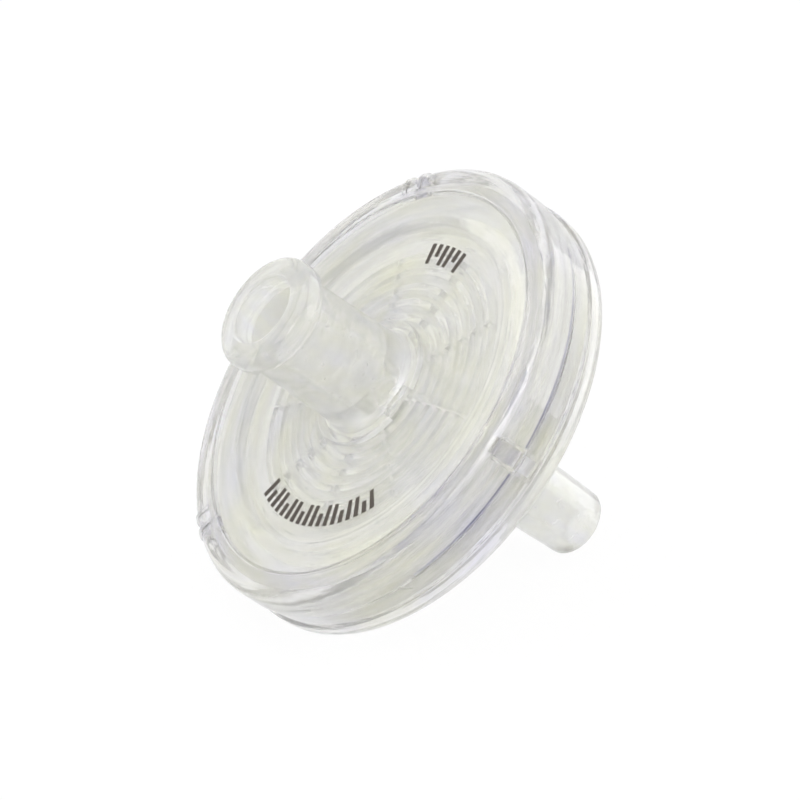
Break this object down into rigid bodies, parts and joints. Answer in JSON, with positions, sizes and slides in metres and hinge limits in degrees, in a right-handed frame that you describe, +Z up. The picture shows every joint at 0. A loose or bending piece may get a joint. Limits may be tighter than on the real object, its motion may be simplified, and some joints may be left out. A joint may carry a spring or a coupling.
{
  "type": "syringe filter",
  "caption": "Disc-shaped clear plastic syringe filter with a female Luer inlet port, a male Luer slip outlet and a thin membrane sealed inside.",
  "frame": {"origin": "centre of the bounding box's footprint, on the surface that the filter lies on", "axes": "+Z up; the flow axis leans in the XZ plane with the inlet up towards -X and the outlet down towards +X; +Y along the disc's level diameter"},
  "size_m": [0.0236, 0.028, 0.0235],
  "materials": {
    "clear_pp": "clear natural polypropylene, faintly milky",
    "ring_pp": "clear natural polypropylene, faintly milky",
    "membrane_film": "matt white porous film"
  },
  "bodies": {
    "root": {"inlet_half": "clear_pp", "outlet_half": "clear_pp", "membrane": "membrane_film", "seal_ring": "ring_pp"}
  },
  "joints": []
}
